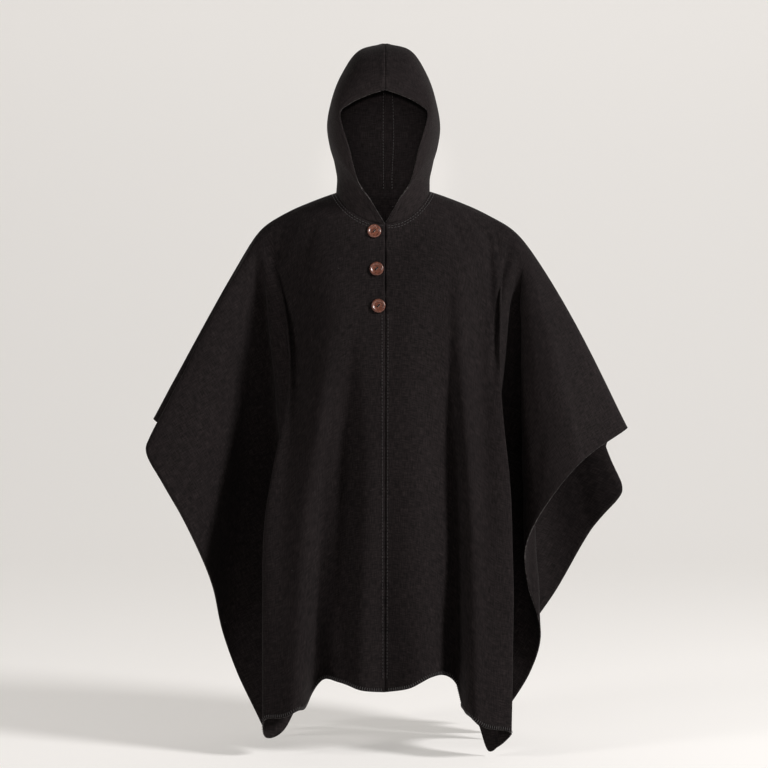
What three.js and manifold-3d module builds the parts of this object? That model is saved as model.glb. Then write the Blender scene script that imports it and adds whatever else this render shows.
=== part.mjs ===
import * as THREE from 'three';
import { mergeVertices } from 'three/addons/utils/BufferGeometryUtils.js';
import Module from 'manifold-3d';

const wasm = await Module();
wasm.setup();

// Hooded poncho of two long panels, in millimetres. X runs to its own left, Y to the back and Z up.
// The origin lies between the shoulders at the base of the neck.
const CLOTH = 2;
const SEAM_GAP = 0.4;
const NECK = { front: 150, back: 62 };
const SLIT_END = 322;
const SLIT_GAPE = { most: 2.4, fades: 20 };
const SHOULDER_SOFT = 15;
const FOLDS_START = { front: 150, back: 300 };
const LEVEL_SHARE = 0.95;
const BOW_FADE = 1.35;
const LONGEST = 960;

// The shoulder line of a side: distance along the cloth from the centre, then where it is
const SHOULDER = [
  { along: 0, out: 0, z: 57 },
  { along: 50, out: 50, z: 51 },
  { along: 92, out: 91, z: 41 },
  { along: 165, out: 160, z: 15 },
  { along: 212, out: 205, z: -7 },
  { along: 248, out: 238, z: -24 },
  { along: 290, out: 274, z: -46 },
];

// How far the shoulder and arm push the cloth away from the shoulder line
const FULLNESS = [
  { along: 0, front: 96, back: 84 },
  { along: 110, front: 92, back: 84 },
  { along: 190, front: 62, back: 66 },
  { along: 250, front: 44, back: 48 },
  { along: 400, front: 36, back: 38 },
  { along: 700, front: 30, back: 32 },
];

// Length of the cloth from the shoulder line to the hem, across each side at front and back
const HEM = [
  { along: 0, right_front: 1024, left_front: 1024, right_back: 1010, left_back: 1010 },
  { along: 60, right_front: 1012, left_front: 1008, right_back: 1000, left_back: 998 },
  { along: 110, right_front: 985, left_front: 974, right_back: 984, left_back: 980 },
  { along: 150, right_front: 958, left_front: 950, right_back: 972, left_back: 968 },
  { along: 178, right_front: 962, left_front: 949, right_back: 964, left_back: 964 },
  { along: 195, right_front: 970, left_front: 974, right_back: 959, left_back: 961 },
  { along: 212, right_front: 958, left_front: 970, right_back: 956, left_back: 960 },
  { along: 250, right_front: 950, left_front: 965, right_back: 950, left_back: 952 },
  { along: 290, right_front: 948, left_front: 960, right_back: 946, left_back: 948 },
  { along: 312, right_front: 974, left_front: 965, right_back: 942, left_back: 946 },
  { along: 335, right_front: 973, left_front: 984, right_back: 940, left_back: 942 },
  { along: 360, right_front: 952, left_front: 990, right_back: 936, left_back: 939 },
  { along: 385, right_front: 918, left_front: 945, right_back: 932, left_back: 934 },
  { along: 425, right_front: 900, left_front: 912, right_back: 927, left_back: 929 },
  { along: 500, right_front: 888, left_front: 896, right_back: 918, left_back: 920 },
  { along: 600, right_front: 888, left_front: 892, right_back: 902, left_back: 906 },
  { along: 690, right_front: 882, left_front: 886, right_back: 885, left_back: 890 },
];

// Each side's half neck, shoulder point and width of cloth, how much its upper arm bows out in degrees,
// how wide its half of the hood stands, and how far the chest's edge is drawn in below the shoulder
const SIDES = {
  right: { sign: -1, neck: 92, point: 243, width: 655, bow: 1.4, hood: 1, drawn: 52 },
  left: { sign: 1, neck: 84, point: 258, width: 685, bow: 7, hood: 0.95, drawn: 24 },
};
const DRAWN = { middle: 270, reach: 190, from: 75, to: 86 };
const CENTRE_TILT = { front: -3.2, back: 2.6 };

// Below the shoulder point the cloth is a fan. A row is one of its lines, turned from the arm line (0)
// to straight down (90). It leans out from the vertical and tilts to the back, all in degrees.
const FAN_RIGHT_FRONT = [
  { turn: 0, lean: 29, tilt: 2 },
  { turn: 4, lean: 28.6, tilt: 0 },
  { turn: 8, lean: 26.3, tilt: -1.5 },
  { turn: 12, lean: 25.6, tilt: -5 },
  { turn: 17, lean: 25.8, tilt: -8 },
  { turn: 26, lean: 26.4, tilt: -12 },
  { turn: 31, lean: 25.2, tilt: -13 },
  { turn: 37, lean: 19.8, tilt: -12 },
  { turn: 43, lean: 14.2, tilt: -8.5 },
  { turn: 48.5, lean: 10, tilt: -3.5 },
  { turn: 53, lean: 7.4, tilt: 1.2 },
  { turn: 57.7, lean: 5.4, tilt: 4 },
  { turn: 61, lean: 3.2, tilt: 5 },
  { turn: 65, lean: -0.6, tilt: 5 },
  { turn: 69, lean: -3.4, tilt: 4.2 },
  { turn: 74, lean: -5.4, tilt: 1.8 },
  { turn: 79, lean: -5.4, tilt: -2.4 },
  { turn: 83, lean: -3.2, tilt: -5 },
  { turn: 86.5, lean: -0.8, tilt: -7.2 },
  { turn: 90, lean: -3.4, tilt: -8.4 },
];
const FAN_LEFT_FRONT = [
  { turn: 0, lean: 29.5, tilt: 2 },
  { turn: 7, lean: 22.6, tilt: -2 },
  { turn: 15, lean: 16.9, tilt: -6 },
  { turn: 20, lean: 13.9, tilt: -8 },
  { turn: 31, lean: 7.4, tilt: -7.5 },
  { turn: 38.6, lean: 3.2, tilt: -5.2 },
  { turn: 44.2, lean: 1.3, tilt: -3.2 },
  { turn: 50, lean: 1.7, tilt: -1.2 },
  { turn: 55.4, lean: 3.4, tilt: 1 },
  { turn: 59.2, lean: 1.8, tilt: 2.8 },
  { turn: 63.5, lean: -2.6, tilt: 3.8 },
  { turn: 68, lean: -5, tilt: 3.4 },
  { turn: 73, lean: -5.8, tilt: 1.2 },
  { turn: 78, lean: -5.8, tilt: -2.2 },
  { turn: 82, lean: -4.6, tilt: -4.8 },
  { turn: 85, lean: -2.8, tilt: -6.4 },
  { turn: 87, lean: -1.1, tilt: -7.6 },
  { turn: 90, lean: -3.8, tilt: -8.6 },
];
const FAN_RIGHT_BACK = [
  { turn: 0, lean: 29, tilt: 2 },
  { turn: 6, lean: 27.6, tilt: 5.5 },
  { turn: 12, lean: 26.2, tilt: 8.4 },
  { turn: 24, lean: 22.5, tilt: 12.5 },
  { turn: 34, lean: 17, tilt: 14 },
  { turn: 44, lean: 9.5, tilt: 12.5 },
  { turn: 52, lean: 4.5, tilt: 9.5 },
  { turn: 58, lean: 2.2, tilt: 7.4 },
  { turn: 64, lean: -0.6, tilt: 5.8 },
  { turn: 70, lean: -3.2, tilt: 5 },
  { turn: 75, lean: -4.6, tilt: 4.8 },
  { turn: 79, lean: -5, tilt: 5.8 },
  { turn: 83, lean: -3.2, tilt: 7.2 },
  { turn: 87, lean: -0.6, tilt: 8.4 },
  { turn: 90, lean: -2.8, tilt: 8.8 },
];
const FAN_LEFT_BACK = [
  { turn: 0, lean: 29.5, tilt: 2 },
  { turn: 10, lean: 27.2, tilt: 7.2 },
  { turn: 17, lean: 25, tilt: 10.8 },
  { turn: 23, lean: 23.6, tilt: 12 },
  { turn: 29, lean: 22.9, tilt: 9.6 },
  { turn: 34, lean: 23.3, tilt: 7.4 },
  { turn: 38, lean: 22.9, tilt: 6.6 },
  { turn: 39.6, lean: 21.4, tilt: 6.8 },
  { turn: 42, lean: 18, tilt: 7.8 },
  { turn: 45, lean: 14.6, tilt: 9.2 },
  { turn: 52.8, lean: 7.4, tilt: 10.3 },
  { turn: 58, lean: 1, tilt: 7.5 },
  { turn: 64, lean: -2.4, tilt: 4.5 },
  { turn: 70, lean: -4.8, tilt: 3 },
  { turn: 75, lean: -6.2, tilt: 3 },
  { turn: 79, lean: -6, tilt: 5.2 },
  { turn: 83, lean: -4, tilt: 7 },
  { turn: 87, lean: -1.4, tilt: 8.4 },
  { turn: 90, lean: -3.8, tilt: 8.8 },
];

// Soft folds: where a fold lies at the shoulder line and at the hem, the stretch it grows over, its depth
// there and at the hem (inward is positive), and its width towards the centre and away from it
const CENTRE_FLAT = 30;
const FOLDS = {
  right_front: [
    { top: 62, hem: 172, from: 300, to: 900, depth: 54, hem_depth: 64, inner: 70, outer: 24 },
    { top: 66, hem: 90, from: 300, to: 640, depth: 26, hem_depth: 14, inner: 24, outer: 44 },
    { top: 218, hem: 222, from: 16, to: 240, depth: 14, hem_depth: 0, inner: 34, outer: 30 },
    { top: 120, hem: 222, from: 480, to: 900, depth: -6, hem_depth: -12, inner: 20, outer: 40 },
  ],
  left_front: [
    { top: 112, hem: 178, from: 120, to: 680, depth: 54, hem_depth: 64, inner: 66, outer: 22 },
    { top: 214, hem: 222, from: 16, to: 260, depth: 14, hem_depth: 0, inner: 34, outer: 30 },
    { top: 168, hem: 226, from: 480, to: 900, depth: -6, hem_depth: -12, inner: 20, outer: 36 },
  ],
  right_back: [
    { top: 52, hem: 78, from: 250, to: 900, depth: 44, hem_depth: 50, inner: 40, outer: 46 },
    { top: 132, hem: 176, from: 150, to: 900, depth: 48, hem_depth: 54, inner: 34, outer: 34 },
    { top: 196, hem: 214, from: 30, to: 260, depth: 10, hem_depth: 0, inner: 30, outer: 26 },
  ],
  left_back: [
    { top: 60, hem: 96, from: 300, to: 940, depth: 50, hem_depth: 54, inner: 46, outer: 34 },
    { top: 146, hem: 180, from: 140, to: 900, depth: 44, hem_depth: 48, inner: 32, outer: 38 },
    { top: 206, hem: 224, from: 30, to: 260, depth: 10, hem_depth: 0, inner: 30, outer: 26 },
  ],
};

// Ribs of a hood half from the neck to the crown: its back, its widest point and its front edge
const HOOD_RIBS = [
  { back_y: 60, back_z: 78, wide: 89, wide_y: 0, wide_z: 84, front_x: 26, front_y: -88, front_z: 22 },
  { back_y: 86, back_z: 122, wide: 103, wide_y: 2, wide_z: 126, front_x: 49, front_y: -92, front_z: 56 },
  { back_y: 104, back_z: 175, wide: 109, wide_y: 4, wide_z: 168, front_x: 65, front_y: -92, front_z: 116 },
  { back_y: 108, back_z: 222, wide: 100, wide_y: 6, wide_z: 214, front_x: 82, front_y: -92, front_z: 178 },
  { back_y: 103, back_z: 258, wide: 82, wide_y: 8, wide_z: 262, front_x: 66, front_y: -97, front_z: 197 },
  { back_y: 94, back_z: 282, wide: 50, wide_y: 8, wide_z: 308, front_x: 35, front_y: -101, front_z: 212 },
  { back_y: 88, back_z: 290, wide: 0, wide_y: 8, wide_z: 322, front_x: 0, front_y: -103, front_z: 223 },
];

const BUTTON = { radius: 12.8, thick: 4.6, dish: 1.5, rim: 3, hole: 1.5, spread: 2.6, lift: 0.5 };
const BUTTONS = [
  { name: 'button_top', across: 20.2, z: -35.5 },
  { name: 'button_middle', across: 16.5, z: -105 },
  { name: 'button_bottom', across: 13.2, z: -173 },
];
const BUTTON_SIDES = 20;
const HOOD_GAP = { plain: 2.2, front: 2.2 };
const NUDGE = { turn: 0.02, size: 0.98 };
const STAND = { right: 2, left: 1, deep: 2.7 };

const COLUMNS = 38;
const COLUMN_SHARES = { torso: 0.36, fan: 0.78 };
const COLUMN_STEPS = { before_point: 4, fan_top: 24, fan_hem: 275 };
const NECK_ROWS = { bend: 1.4, blend: 0.3 };
const ROWS = { neck_front: 6, slit: 4, front: 17, neck_back: 4, back: 18 };
const HOOD_GRID = { per_row: 2, up: 12 };

const rad = THREE.MathUtils.degToRad;
const lerp = THREE.MathUtils.lerp;

// Smooth curve through the rows of a table, read at one value of its first column
function read(table, key, column, at) {
  const last = table.length - 1;
  const slope = (i) => {
    const a = Math.max(i - 1, 0);
    const b = Math.min(i + 1, last);
    return (table[b][column] - table[a][column]) / (table[b][key] - table[a][key]);
  };
  if (at <= table[0][key]) return table[0][column];
  if (at >= table[last][key]) return table[last][column];
  let i = 0;
  while (at > table[i + 1][key]) i += 1;
  const span = table[i + 1][key] - table[i][key];
  const t = (at - table[i][key]) / span;
  const rise = t * t * (3 - 2 * t);
  const start = t * (1 - t) * (1 - t) * span * slope(i);
  const end = t * t * (1 - t) * span * slope(i + 1);
  return lerp(table[i][column], table[i + 1][column], rise) + start - end;
}

const smooth = (t) => THREE.MathUtils.smoothstep(t, 0, 1);

// Zero well below zero and t well above it, with a rounded corner between
function rounded(t, soft) {
  return Math.max(t, 0) + soft * Math.log1p(Math.exp(-Math.abs(t) / soft));
}

// The hung cloth: a point of a panel from its place in the flat cut. It first goes level over the
// shoulder or sleeve, then hangs as a fan from the shoulder point. The folds die out near that point.
function hang(side, face, across, down) {
  const { sign, point, width, bow } = SIDES[side];
  const fan = FANS[`${side}_${face}`];
  const full = read(FULLNESS, 'along', face, across);
  const over = full * (1 - Math.exp(-down / full));
  const beyond = rounded(across - point, SHOULDER_SOFT);
  const along = across - beyond;
  const inward = 1 - along / point;
  const hanging = down - LEVEL_SHARE * over;
  const reach = Math.hypot(beyond, hanging);
  const turn = THREE.MathUtils.radToDeg(Math.atan2(hanging, beyond));
  const bowed = bow * Math.max(1 - reach / (width - point), 0) ** BOW_FADE * (1 - turn / 90) ** 2;
  const folded = smooth(reach / FOLDS_START[face]);
  const plain = (column) => lerp(fan[0][column], fan[fan.length - 1][column], turn / 90);
  const leaning = lerp(plain('lean'), read(fan, 'turn', 'lean', turn), folded) + bowed;
  const lean = rad(leaning * (1 - inward));
  const straight = fan[fan.length - 1].tilt;
  const turned = lerp(plain('tilt'), read(fan, 'turn', 'tilt', turn), folded);
  const tilt = rad(turned + inward * (CENTRE_TILT[face] - straight));
  const level = (reach - DRAWN.middle) / DRAWN.reach;
  const near = smooth((turn - DRAWN.from) / (DRAWN.to - DRAWN.from)) * (along / point) ** 2;
  const drawn = SIDES[side].drawn * Math.exp(-level * level) * near;
  const out = read(SHOULDER, 'along', 'out', along) + reach * Math.sin(lean) * Math.cos(tilt) - drawn;
  const y = reach * Math.sin(tilt) + (face === 'front' ? -over : over);
  const z = read(SHOULDER, 'along', 'z', along) - reach * Math.cos(lean) * Math.cos(tilt);
  return new THREE.Vector3(sign * out, y, z);
}

// How far the soft folds move the cloth inward at a place of the flat cut
function foldDepth(rows, across, down, length) {
  let depth = 0;
  for (const fold of rows) {
    const middle = lerp(fold.top, fold.hem, down / length);
    const away = (across - middle) / (across < middle ? fold.inner : fold.outer);
    const grown = fold.depth * smooth((down - fold.from) / (fold.to - fold.from));
    const low = smooth((down - fold.to) / (length - fold.to));
    depth += lerp(grown, fold.hem_depth, low) * Math.exp(-away * away);
  }
  const centre = across / CENTRE_FLAT;
  return depth * (1 - Math.exp(-centre * centre));
}

// Between the buttons the slit's edge stands a little open
function slitGape(across, down) {
  const share = (down - NECK.front) / (SLIT_END - NECK.front);
  if (share <= 0 || share >= 1) return 0;
  const wave = Math.abs(Math.sin(share * Math.PI * (BUTTONS.length + 0.5)));
  return SLIT_GAPE.most * wave * Math.exp(-across / SLIT_GAPE.fades);
}

// A point of a panel with its soft folds, which push the cloth in
function clothPoint(side, face, across, down) {
  const quarter = `${side}_${face}`;
  const point = hang(side, face, across, down);
  const depth = foldDepth(FOLDS[quarter], across, down, read(HEM, 'along', quarter, across));
  point.y += face === 'front' ? depth : -depth;
  if (quarter === 'left_front') point.x += slitGape(across, down);
  return point;
}

const FANS = {
  right_front: FAN_RIGHT_FRONT,
  left_front: FAN_LEFT_FRONT,
  right_back: FAN_RIGHT_BACK,
  left_back: FAN_LEFT_BACK,
};

// Columns run down the torso, and fan out from the shoulder point beyond it
function columnPlace(side, edge, share, low) {
  const { point, width } = SIDES[side];
  const { before_point: beforePoint, fan_top: fanTop, fan_hem: fanHem } = COLUMN_STEPS;
  const lines = [
    { share: 0, top: edge, hem: 0 },
    { share: COLUMN_SHARES.torso, top: point - beforePoint, hem: point - beforePoint },
    { share: COLUMN_SHARES.fan, top: point + fanTop, hem: point + fanHem },
    { share: 1, top: width, hem: width },
  ];
  const next = lines.find((line) => line.share >= share && line.share > 0);
  const before = lines[lines.indexOf(next) - 1];
  const t = (share - before.share) / (next.share - before.share);
  return lerp(lerp(before.top, next.top, t), lerp(before.hem, next.hem, t), low);
}

// Places of a panel's rows down one face: round the neck first, then to the hem
function facePlaces(side, face) {
  const deep = NECK[face];
  const neckRows = ROWS[`neck_${face}`];
  const rows = [];
  for (let i = 0; i <= neckRows + ROWS[face]; i += 1) {
    const row = [];
    const round = Math.min(i / neckRows, 1);
    const edge = SIDES[side].neck * Math.cos((round * Math.PI) / 2);
    const rest = Math.max(i - neckRows, 0);
    const slit = face === 'front' ? ROWS.slit : 0;
    const top = lerp(deep, SLIT_END, slit ? Math.min(rest / slit, 1) : 0);
    const on = Math.max(rest - slit, 0) / (ROWS[face] - slit);
    for (let j = 0; j <= COLUMNS; j += 1) {
      const t = j / COLUMNS;
      const near = deep * Math.sin((round * Math.PI) / 2);
      const far = deep * round ** NECK_ROWS.bend;
      const low = lerp(round < 1 ? far : top, LONGEST, on) / LONGEST;
      const across = Math.max(columnPlace(side, edge, t, low), SEAM_GAP / 2);
      const start = lerp(near, far, smooth(t / NECK_ROWS.blend));
      const down = lerp(round < 1 ? start : top, read(HEM, 'along', `${side}_${face}`, across), on);
      row.push({ face, across, down });
    }
    rows.push(row);
  }
  return rows;
}

// A closed wall of the cloth's thickness on both sides of a grid of points. At a seam it faces square off
// it, and where two seams meet, halfway between them.
function wall(grid, thick = CLOTH, seam = null) {
  const rows = grid.length;
  const columns = grid[0].length;
  const within = (k, count) => THREE.MathUtils.clamp(k, 0, count - 1);
  const at = (i, j) => grid[within(i, rows)][within(j, columns)];
  const normals = grid.map((row, i) => row.map((_, j) => {
    const along = at(i + 1, j).clone().sub(at(i - 1, j));
    const normal = along.cross(at(i, j + 1).clone().sub(at(i, j - 1)));
    if (seam && seam(i, j)) normal.x = 0;
    return normal.normalize();
  }));
  if (seam && seam(rows - 1, 1)) {
    normals[rows - 1][0] = normals[rows - 1][1].clone().add(normals[rows - 2][0]).normalize();
  }
  const positions = [];
  for (const half of [thick / 2, -thick / 2]) {
    grid.forEach((row, i) => row.forEach((middle, j) => {
      positions.push(...middle.clone().addScaledVector(normals[i][j], half).toArray());
    }));
  }
  const index = [];
  const id = (layer, i, j) => layer * rows * columns + i * columns + j;
  const quad = (a, b, c, d) => index.push(a, b, c, a, c, d);
  for (let i = 0; i < rows - 1; i += 1) {
    for (let j = 0; j < columns - 1; j += 1) {
      const falling = normals[i][j].dot(normals[i + 1][j + 1]);
      const rising = normals[i + 1][j].dot(normals[i][j + 1]);
      const corners = [[i, j], [i + 1, j], [i + 1, j + 1], [i, j + 1]];
      if (rising > falling) corners.push(corners.shift());
      const [a, b, c, d] = corners;
      quad(id(0, ...a), id(0, ...b), id(0, ...c), id(0, ...d));
      quad(id(1, ...a), id(1, ...d), id(1, ...c), id(1, ...b));
    }
  }
  const rim = [];
  for (let j = 0; j < columns - 1; j += 1) rim.push([0, j]);
  for (let i = 0; i < rows - 1; i += 1) rim.push([i, columns - 1]);
  for (let j = columns - 1; j > 0; j -= 1) rim.push([rows - 1, j]);
  for (let i = rows - 1; i > 0; i -= 1) rim.push([i, 0]);
  rim.forEach(([i, j], k) => {
    const [m, n] = rim[(k + 1) % rim.length];
    quad(id(0, i, j), id(0, m, n), id(1, m, n), id(1, i, j));
  });
  return { positions, index };
}

// Faces outwards whichever way the grid was walked
function solid({ positions, index }) {
  const geometry = new THREE.BufferGeometry();
  geometry.setAttribute('position', new THREE.Float32BufferAttribute(positions, 3));
  geometry.setIndex(index);
  const p = geometry.attributes.position;
  let volume = 0;
  const [a, b, c] = [new THREE.Vector3(), new THREE.Vector3(), new THREE.Vector3()];
  for (let i = 0; i < index.length; i += 3) {
    a.fromBufferAttribute(p, index[i]);
    b.fromBufferAttribute(p, index[i + 1]);
    c.fromBufferAttribute(p, index[i + 2]);
    volume += a.dot(b.cross(c));
  }
  if (volume < 0) {
    for (let i = 0; i < index.length; i += 3) [index[i], index[i + 1]] = [index[i + 1], index[i]];
    geometry.setIndex(index);
  }
  geometry.computeVertexNormals();
  return geometry;
}

// A panel from the front hem over the shoulder to the back hem
function panel(side) {
  const front = facePlaces(side, 'front').reverse();
  const back = facePlaces(side, 'back').slice(1);
  const places = [...front, ...back];
  const hung = ({ face, across, down }) => clothPoint(side, face, across, down);
  const grid = places.map((row) => row.map(hung));
  const first = ROWS.front;
  const last = ROWS.front + ROWS.neck_front + ROWS.neck_back;
  return solid(wall(grid, CLOTH, (i, j) => j === 0 && (i <= first || i >= last)));
}

// Where the hood's foot meets a corner of the neck edge: in the cloth's surface, just inside the neck hole
function neckCorner(side, face, turn) {
  const place = (angle, size) => {
    const across = SIDES[side].neck * Math.cos(angle) * size;
    return clothPoint(side, face, Math.max(across, SEAM_GAP / 2), NECK[face] * Math.sin(angle) * size);
  };
  const angle = (turn * Math.PI) / 2;
  const edge = place(angle, 1);
  const along = place(angle + NUDGE.turn, 1).sub(place(angle - NUDGE.turn, 1)).normalize();
  const inward = place(angle, NUDGE.size).sub(edge);
  inward.addScaledVector(along, -inward.dot(along)).normalize();
  const extra = face === 'front' ? HOOD_GAP.front * Math.sin(2 * angle) : 0;
  return edge.addScaledVector(inward, HOOD_GAP.plain + extra);
}

// The hood's foot, from the back of the neck (0) round a side to the front (1), along the panel's own rows
function neckPoint(side, around) {
  const face = around > 0.5 ? 'front' : 'back';
  const rows = ROWS[`neck_${face}`];
  const row = Math.abs(around - 0.5) * 2 * rows;
  const before = Math.floor(row);
  const next = Math.min(before + 1, rows);
  return neckCorner(side, face, before / rows).lerp(neckCorner(side, face, next / rows), row - before);
}

// A rib of the hood: a quarter turn from the back seam to its widest point, then one to the front edge
function ribPoint(rib, around) {
  const turn = around * Math.PI;
  if (around <= 0.5) {
    const x = rib.wide * Math.sin(turn);
    const y = lerp(rib.wide_y, rib.back_y, Math.cos(turn));
    return { x, y, z: lerp(rib.back_z, rib.wide_z, Math.sin(turn)) };
  }
  const on = turn - Math.PI / 2;
  const x = lerp(rib.front_x, rib.wide, Math.cos(on));
  const y = lerp(rib.wide_y, rib.front_y, Math.sin(on));
  return { x, y, z: lerp(rib.front_z, rib.wide_z, Math.cos(on)) };
}

function hoodPoint(side, around, up) {
  const { sign, hood: stand } = SIDES[side];
  const foot = neckPoint(side, around);
  const ribs = [{ up: 0, x: (sign * foot.x) / stand, y: foot.y, z: foot.z }];
  HOOD_RIBS.forEach((rib, i) => ribs.push({ up: (i + 1) / HOOD_RIBS.length, ...ribPoint(rib, around) }));
  const at = (column) => read(ribs, 'up', column, up) * (column === 'x' ? stand : 1);
  return new THREE.Vector3(sign * Math.max(at('x'), SEAM_GAP / 2), at('y'), at('z'));
}

function hood(side) {
  const steps = [];
  const back = ROWS.neck_back * HOOD_GRID.per_row;
  const front = ROWS.neck_front * HOOD_GRID.per_row;
  for (let j = 0; j <= back; j += 1) steps.push((j / back) * 0.5);
  for (let j = 1; j <= front; j += 1) steps.push(0.5 + (j / front) * 0.5);
  const grid = [];
  for (let i = 0; i <= HOOD_GRID.up; i += 1) {
    grid.push(steps.map((around) => hoodPoint(side, around, i / HOOD_GRID.up)));
  }
  return solid(wall(grid, CLOTH, (i, j) => j === 0 || i === HOOD_GRID.up));
}

// A point at the centre front, this far to the left (negative: right)
function frontPoint(offset, down) {
  return clothPoint(offset < 0 ? 'right' : 'left', 'front', Math.abs(offset), down);
}

// The way out of the cloth at the centre front
function frontOutward(offset, down) {
  const step = 4;
  const up = frontPoint(offset, down - step).sub(frontPoint(offset, down + step));
  const side = frontPoint(offset + step, down).sub(frontPoint(offset - step, down));
  return side.cross(up).normalize();
}

// The strip behind the slit follows the panels' own rows and columns
function stand() {
  const [right, left] = ['right', 'left'].map((side) => facePlaces(side, 'front').slice(ROWS.neck_front));
  const grid = [];
  for (let i = 0; i <= ROWS.slit; i += 1) {
    const row = [];
    for (let j = STAND.right; j > -STAND.left - 1; j -= 1) {
      const place = (j < 0 ? left : right)[i][Math.abs(j)];
      const point = frontPoint(-Math.sign(j) * place.across, place.down);
      row.push(point.addScaledVector(frontOutward(0, place.down), -STAND.deep));
    }
    grid.push(row);
  }
  return solid(wall(grid));
}

// Half of a button's section from its axis to its rim and back
function buttonProfile() {
  const { radius, thick, dish, rim } = BUTTON;
  const points = [
    [0, 0],
    [radius * 0.8, 0],
    [radius * 0.96, thick * 0.22],
    [radius, thick * 0.52],
    [radius * 0.95, thick * 0.86],
    [radius - rim * 0.5, thick],
    [radius - rim, thick - dish * 0.45],
    [radius * 0.45, thick - dish],
    [0, thick - dish],
  ];
  return points.map(([x, y]) => new THREE.Vector2(x, y));
}

function toManifold(geometry) {
  const plain = geometry.clone();
  plain.deleteAttribute('normal');
  plain.deleteAttribute('uv');
  const merged = mergeVertices(plain, 1e-4);
  const mesh = new wasm.Mesh({
    numProp: 3,
    vertProperties: new Float32Array(merged.attributes.position.array),
    triVerts: new Uint32Array(merged.index.array),
  });
  return new wasm.Manifold(mesh);
}

function fromManifold(body) {
  const mesh = body.getMesh();
  const geometry = new THREE.BufferGeometry();
  geometry.setAttribute('position', new THREE.Float32BufferAttribute(mesh.vertProperties, 3));
  geometry.setIndex(Array.from(mesh.triVerts));
  geometry.computeVertexNormals();
  return geometry;
}

// A dished button with two thread holes, turned out from the cloth that it lies on
function button({ across, z }) {
  const lathe = new THREE.LatheGeometry(buttonProfile(), BUTTON_SIDES);
  let body = toManifold(lathe);
  for (const sign of [-1, 1]) {
    const hole = new THREE.CylinderGeometry(BUTTON.hole, BUTTON.hole, BUTTON.thick * 3, 8);
    hole.translate(sign * BUTTON.spread * Math.SQRT1_2, 0, sign * BUTTON.spread * Math.SQRT1_2);
    body = body.subtract(toManifold(hole));
  }
  let down = NECK.front;
  while (frontPoint(-across, down).z > z) down += 1;
  const outward = frontOutward(-across, down);
  const place = frontPoint(-across, down).addScaledVector(outward, CLOTH / 2 + BUTTON.lift);
  const geometry = fromManifold(body);
  const turn = new THREE.Quaternion().setFromUnitVectors(new THREE.Vector3(0, 1, 0), outward);
  return geometry.applyQuaternion(turn).translate(place.x, place.y, place.z);
}

const group = new THREE.Group();
group.name = 'hooded_poncho';

function add(name, geometry, material) {
  const mesh = new THREE.Mesh(geometry, material);
  mesh.name = name;
  group.add(mesh);
}

const clothMaterial = new THREE.MeshStandardMaterial({ name: 'cloth', color: 0x1c1a1b, roughness: 0.95 });
const buttonMaterial = new THREE.MeshStandardMaterial({ name: 'button', color: 0x8a5a3c, roughness: 0.45 });

add('panel_right', panel('right'), clothMaterial);
add('panel_left', panel('left'), clothMaterial);
add('hood_right', hood('right'), clothMaterial);
add('hood_left', hood('left'), clothMaterial);
add('button_stand', stand(), clothMaterial);
for (const place of BUTTONS) add(place.name, button(place), buttonMaterial);

export default group;
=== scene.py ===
import math

import bpy
import numpy as np
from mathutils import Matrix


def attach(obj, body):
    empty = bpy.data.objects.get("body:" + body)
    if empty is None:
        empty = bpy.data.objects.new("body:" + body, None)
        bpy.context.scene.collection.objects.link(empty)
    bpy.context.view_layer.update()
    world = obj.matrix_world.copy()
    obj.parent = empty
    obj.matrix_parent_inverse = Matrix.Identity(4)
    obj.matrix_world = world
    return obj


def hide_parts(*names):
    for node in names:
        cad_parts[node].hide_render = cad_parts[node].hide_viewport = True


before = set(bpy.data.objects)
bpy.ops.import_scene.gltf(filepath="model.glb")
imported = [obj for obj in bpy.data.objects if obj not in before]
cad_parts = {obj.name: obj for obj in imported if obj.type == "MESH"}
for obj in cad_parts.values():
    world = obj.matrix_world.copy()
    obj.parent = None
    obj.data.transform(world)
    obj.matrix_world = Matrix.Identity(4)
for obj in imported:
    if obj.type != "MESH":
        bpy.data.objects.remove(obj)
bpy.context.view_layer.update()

MM = 0.001

# Hooded poncho. Shapes are worked out in millimetres in the frame's axes (X to the garment's left, Y to its
# back, Z up) and put into the meshes in metres. "across" and "down" are places in the flat cut of a panel:
# away from the centre seam, and down from the shoulder line.
CLOTH = 2.2
STRIP = {
    "cloth": 1.8,
    "behind": 3.4,
    "above": 2,
    "below": 14,
    "right": -34,
    "left": 14,
    "rows": 40,
    "columns": 20,
    "edge": 20.0,
}
SEAM_GAP = 0.1
NECK = {"front": 150, "back": 62}
SLIT_END = 322
SLIT_GAPE = {"most": 2.4, "fades": 20}
SHOULDER_SOFT = 15
FOLDS_START = {"front": 150, "back": 300}
CENTRE_FLAT = 30
LEVEL_SHARE = 0.95
BOW_FADE = 1.35
LONGEST = 960


def table(columns, rows):
    """A table with named columns, each an array."""
    return dict(zip(columns.split(), np.array(rows, float).T))


# The shoulder line of a side
SHOULDER = table(
    "along out z",
    [
        (0, 0, 57),
        (50, 50, 51),
        (92, 91, 41),
        (165, 160, 15),
        (212, 205, -7),
        (248, 238, -24),
        (290, 274, -46),
    ],
)

# How far the shoulder and sleeve push the cloth away from the shoulder line
FULLNESS = table(
    "along front back",
    [(0, 96, 84), (110, 92, 84), (190, 62, 66), (250, 44, 48), (400, 36, 38), (700, 30, 32)],
)

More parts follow.
